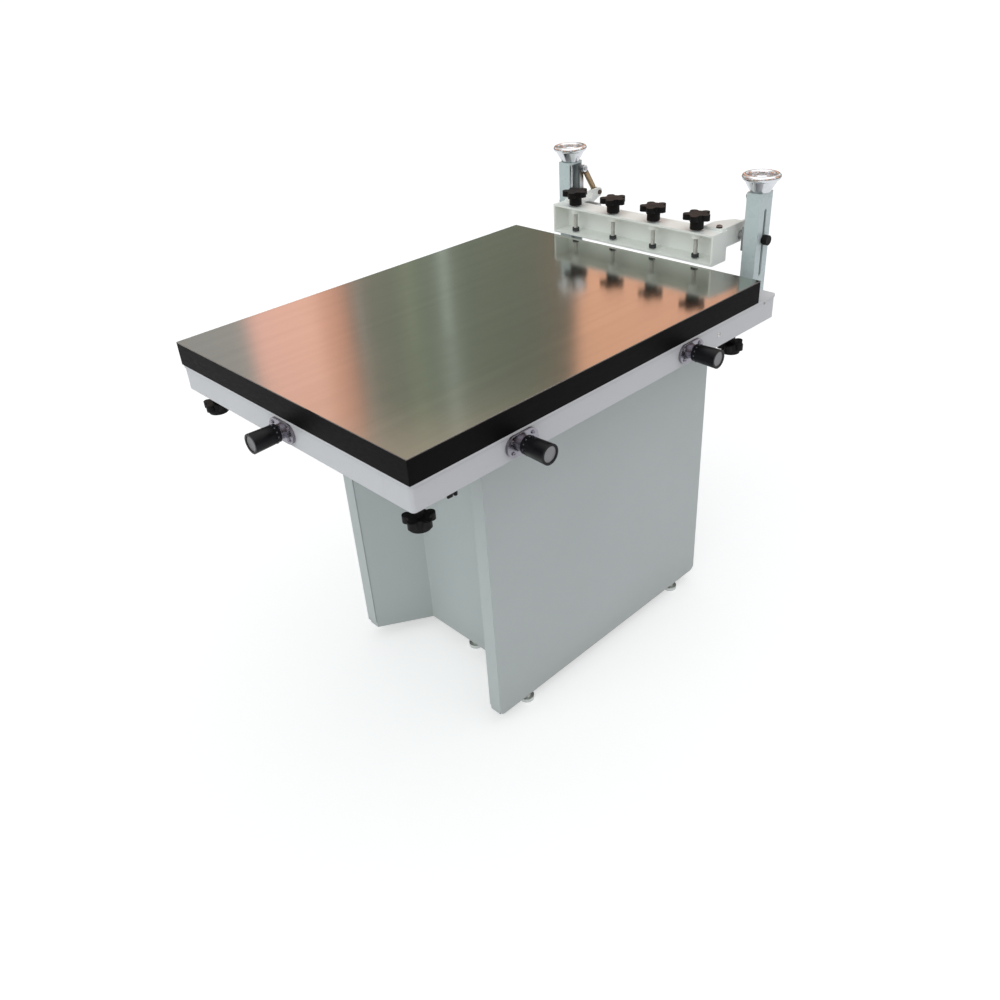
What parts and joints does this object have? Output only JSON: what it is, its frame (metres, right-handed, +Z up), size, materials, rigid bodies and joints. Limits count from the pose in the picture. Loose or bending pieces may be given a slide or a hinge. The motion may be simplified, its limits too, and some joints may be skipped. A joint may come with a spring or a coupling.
{
  "type": "manual screen printing machine",
  "caption": "Free-standing manual screen printing table: finely adjustable table on a pedestal, with a hinged, height-adjustable screen clamp between two rear columns.",
  "frame": {"origin": "on the floor, under the middle of the machine's outline seen from above", "axes": "+X to the operator's right, +Y to the back where the columns stand, +Z up"},
  "size_m": [0.655, 1.006, 0.8586],
  "materials": {
    "pedestal_paint": "pale grey-white powder coat, fine orange peel",
    "frame_paint": "off-white powder coat",
    "beam_paint": "off-white powder coat, satin",
    "table_black": "black laminated core, satin edge",
    "table_stainless": "fine brushed, near mirror",
    "machined_steel": "machined, lightly oiled",
    "zinc_steel": "zinc plated",
    "chrome": "polished plating",
    "knob_plastic": "black moulded, fine grain",
    "grip_plastic": "black, fine straight flutes",
    "bronze": "machined bronze",
    "strut_metal": "brown-gold lacquered steel",
    "pad_rubber": "dark pad"
  },
  "bodies": {
    "base": {"pedestal_side_left": "pedestal_paint", "pedestal_side_right": "pedestal_paint", "pedestal_front_panel": "pedestal_paint", "pedestal_back_panel": "pedestal_paint", "pedestal_top_plate": "pedestal_paint", "pedestal_floor_rails": "pedestal_paint", "levelling_feet": "zinc_steel", "frame_front_rail": "frame_paint", "frame_rear_rail": "frame_paint", "frame_left_rail": "frame_paint", "frame_right_rail": "frame_paint", "slide_bridges": "machined_steel", "adjuster_collars": "chrome", "column_brackets": "frame_paint", "column_left": "frame_paint", "column_right": "frame_paint", "assembly_bolts": "zinc_steel"},
    "lower_slide": {"y_slide": "machined_steel"},
    "upper_slide": {"x_slide": "machined_steel"},
    "turn_plate": {"turn_plate": "machined_steel"},
    "table": {"table_core": "table_black", "table_sheet": "table_stainless", "table_brackets": "machined_steel"},
    "lock_front_left": {"lock_knob_front_left": "knob_plastic"},
    "lock_front_right": {"lock_knob_front_right": "knob_plastic"},
    "lock_rear_left": {"lock_knob_rear_left": "knob_plastic"},
    "lock_rear_right": {"lock_knob_rear_right": "knob_plastic"},
    "adjuster_front": {"spindle_front": "chrome", "grip_front": "grip_plastic"},
    "adjuster_side_front": {"spindle_side_front": "chrome", "grip_side_front": "grip_plastic"},
    "adjuster_side_rear": {"spindle_side_rear": "chrome", "grip_side_rear": "grip_plastic"},
    "nut_front": {"nut_side_front": "bronze"},
    "nut_rear": {"nut_side_rear": "bronze"},
    "wheel_left": {"handwheel_left": "chrome"},
    "wheel_right": {"handwheel_right": "chrome"},
    "carriage": {"lift_slider_left": "machined_steel", "lift_slider_right": "machined_steel"},
    "column_lock_left": {"column_knob_left": "knob_plastic"},
    "column_lock_right": {"column_knob_right": "knob_plastic"},
    "clamp": {"clamp_beam": "beam_paint", "swing_arms": "beam_paint"},
    "rod_left": {"strut_rod_left": "chrome"},
    "cylinder_left": {"strut_cylinder_left": "strut_metal"},
    "rod_right": {"strut_rod_right": "chrome"},
    "cylinder_right": {"strut_cylinder_right": "strut_metal"},
    "pad_1": {"clamp_pad_1": "pad_rubber"},
    "screw_1": {"clamp_screw_1": "zinc_steel", "clamp_knob_1": "knob_plastic"},
    "pad_2": {"clamp_pad_2": "pad_rubber"},
    "screw_2": {"clamp_screw_2": "zinc_steel", "clamp_knob_2": "knob_plastic"},
    "pad_3": {"clamp_pad_3": "pad_rubber"},
    "screw_3": {"clamp_screw_3": "zinc_steel", "clamp_knob_3": "knob_plastic"},
    "pad_4": {"clamp_pad_4": "pad_rubber"},
    "screw_4": {"clamp_screw_4": "zinc_steel", "clamp_knob_4": "knob_plastic"}
  },
  "joints": [
    {"name": "table_shift_y", "type": "slide", "parent": "base", "child": "lower_slide", "axis": [0, 1, 0], "range_m": [-0.005, 0.005]},
    {"name": "table_shift_x", "type": "slide", "parent": "lower_slide", "child": "upper_slide", "axis": [1, 0, 0], "range_m": [-0.005, 0.005]},
    {"name": "table_turn_by_front", "type": "hinge", "parent": "upper_slide", "child": "turn_plate", "pos_m": [-0.0275, -0.247, 0.657], "axis": [0, 0, 1], "range_deg": [-0.72, 0.72]},
    {"name": "table_turn_by_rear", "type": "hinge", "parent": "turn_plate", "child": "table", "pos_m": [-0.0275, -0.247, 0.665], "axis": [0, 0, 1], "range_deg": [-0.72, 0.72]},
    {"name": "nut_front_travel", "type": "slide", "parent": "base", "child": "nut_front", "axis": [1, 0, 0], "range_m": [-0.00501, 0.00501]},
    {"name": "nut_rear_travel", "type": "slide", "parent": "base", "child": "nut_rear", "axis": [1, 0, 0], "range_m": [-0.00501, 0.00501]},
    {"name": "turn_adjuster_front", "type": "hinge", "parent": "base", "child": "adjuster_front", "pos_m": [-0.0275, -0.448, 0.6435], "axis": [0, 1, 0], "range_deg": [-1441, 1441]},
    {"name": "turn_adjuster_side_front", "type": "hinge", "parent": "base", "child": "adjuster_side_front", "pos_m": [0.2725, -0.247, 0.6435], "axis": [-1, 0, 0], "range_deg": [-1441, 1441]},
    {"name": "turn_adjuster_side_rear", "type": "hinge", "parent": "base", "child": "adjuster_side_rear", "pos_m": [0.2725, 0.152, 0.6435], "axis": [-1, 0, 0], "range_deg": [-1441, 1441]},
    {"name": "loosen_lock_front_left", "type": "hinge", "parent": "table", "child": "lock_front_left", "pos_m": [-0.2975, -0.418, 0.61], "axis": [0, 0, -1], "range_deg": [0, 720]},
    {"name": "loosen_lock_front_right", "type": "hinge", "parent": "table", "child": "lock_front_right", "pos_m": [0.2425, -0.418, 0.61], "axis": [0, 0, -1], "range_deg": [0, 720]},
    {"name": "loosen_lock_rear_left", "type": "hinge", "parent": "table", "child": "lock_rear_left", "pos_m": [-0.2975, 0.322, 0.61], "axis": [0, 0, -1], "range_deg": [0, 720]},
    {"name": "loosen_lock_rear_right", "type": "hinge", "parent": "table", "child": "lock_rear_right", "pos_m": [0.2425, 0.322, 0.61], "axis": [0, 0, -1], "range_deg": [0, 720]},
    {"name": "lift_clamp", "type": "slide", "parent": "base", "child": "carriage", "axis": [0, 0, 1], "range_m": [0, 0.03]},
    {"name": "turn_wheel_left", "type": "hinge", "parent": "carriage", "child": "wheel_left", "pos_m": [-0.2535, 0.447, 0.8403], "axis": [0, 0, -1], "range_deg": [-1, 5401]},
    {"name": "turn_wheel_right", "type": "hinge", "parent": "carriage", "child": "wheel_right", "pos_m": [0.1985, 0.447, 0.8403], "axis": [0, 0, -1], "range_deg": [-1, 5401]},
    {"name": "loosen_column_lock_left", "type": "hinge", "parent": "carriage", "child": "column_lock_left", "pos_m": [-0.2725, 0.448, 0.7433], "axis": [-1, 0, 0], "range_deg": [0, 720]},
    {"name": "loosen_column_lock_right", "type": "hinge", "parent": "carriage", "child": "column_lock_right", "pos_m": [0.2175, 0.448, 0.7433], "axis": [1, 0, 0], "range_deg": [0, 720]},
    {"name": "swing_clamp", "type": "hinge", "parent": "carriage", "child": "clamp", "pos_m": [-0.0275, 0.449, 0.7433], "axis": [-1, 0, 0], "range_deg": [0, 50]},
    {"name": "strut_swing_left", "type": "hinge", "parent": "carriage", "child": "rod_left", "pos_m": [-0.2265, 0.459, 0.8133], "axis": [-1, 0, 0], "range_deg": [0, 13.7]},
    {"name": "strut_stroke_left", "type": "slide", "parent": "rod_left", "child": "cylinder_left", "axis": [0, 0.5439, -0.8392], "range_m": [0, 0.0367]},
    {"name": "strut_swing_right", "type": "hinge", "parent": "carriage", "child": "rod_right", "pos_m": [0.1715, 0.459, 0.8133], "axis": [-1, 0, 0], "range_deg": [0, 13.7]},
    {"name": "strut_stroke_right", "type": "slide", "parent": "rod_right", "child": "cylinder_right", "axis": [0, 0.5439, -0.8392], "range_m": [0, 0.0367]},
    {"name": "clamp_travel_1", "type": "slide", "parent": "clamp", "child": "pad_1", "axis": [0, 0, 1], "range_m": [-0.0022, 0.0278]},
    {"name": "turn_clamp_screw_1", "type": "hinge", "parent": "pad_1", "child": "screw_1", "pos_m": [-0.1745, 0.373, 0.7213], "axis": [0, 0, 1], "range_deg": [-529, 6673]},
    {"name": "clamp_travel_2", "type": "slide", "parent": "clamp", "child": "pad_2", "axis": [0, 0, 1], "range_m": [-0.0022, 0.0278]},
    {"name": "turn_clamp_screw_2", "type": "hinge", "parent": "pad_2", "child": "screw_2", "pos_m": [-0.0765, 0.373, 0.7213], "axis": [0, 0, 1], "range_deg": [-529, 6673]},
    {"name": "clamp_travel_3", "type": "slide", "parent": "clamp", "child": "pad_3", "axis": [0, 0, 1], "range_m": [-0.0022, 0.0278]},
    {"name": "turn_clamp_screw_3", "type": "hinge", "parent": "pad_3", "child": "screw_3", "pos_m": [0.0215, 0.373, 0.7213], "axis": [0, 0, 1], "range_deg": [-529, 6673]},
    {"name": "clamp_travel_4", "type": "slide", "parent": "clamp", "child": "pad_4", "axis": [0, 0, 1], "range_m": [-0.0022, 0.0278]},
    {"name": "turn_clamp_screw_4", "type": "hinge", "parent": "pad_4", "child": "screw_4", "pos_m": [0.1195, 0.373, 0.7213], "axis": [0, 0, 1], "range_deg": [-529, 6673]}
  ],
  "couplings": [
    {"joint": "table_turn_by_front", "follows": "table_shift_x", "rad_per_m": 2.506},
    {"joint": "nut_front_travel", "follows": "table_shift_x", "ratio": 1},
    {"joint": "nut_rear_travel", "follows": "table_turn_by_rear", "m_per_rad": -0.399},
    {"joint": "turn_adjuster_front", "follows": "table_shift_y", "rad_per_m": -5026.1},
    {"joint": "turn_adjuster_side_front", "follows": "table_shift_x", "rad_per_m": 5026.1},
    {"joint": "turn_adjuster_side_rear", "follows": "table_turn_by_rear", "ratio": -2005.4},
    {"joint": "turn_wheel_left", "follows": "lift_clamp", "rad_per_m": 3141.3},
    {"joint": "turn_wheel_right", "follows": "lift_clamp", "rad_per_m": 3141.3},
    {"joint": "strut_swing_left", "follows": "swing_clamp", "ratio": 0.272},
    {"joint": "strut_stroke_left", "follows": "swing_clamp", "m_per_rad": 0.04184},
    {"joint": "strut_swing_right", "follows": "swing_clamp", "ratio": 0.272},
    {"joint": "strut_stroke_right", "follows": "swing_clamp", "m_per_rad": 0.04184},
    {"joint": "turn_clamp_screw_1", "follows": "clamp_travel_1", "rad_per_m": 4188.4},
    {"joint": "turn_clamp_screw_2", "follows": "clamp_travel_2", "rad_per_m": 4188.4},
    {"joint": "turn_clamp_screw_3", "follows": "clamp_travel_3", "rad_per_m": 4188.4},
    {"joint": "turn_clamp_screw_4", "follows": "clamp_travel_4", "rad_per_m": 4188.4}
  ]
}
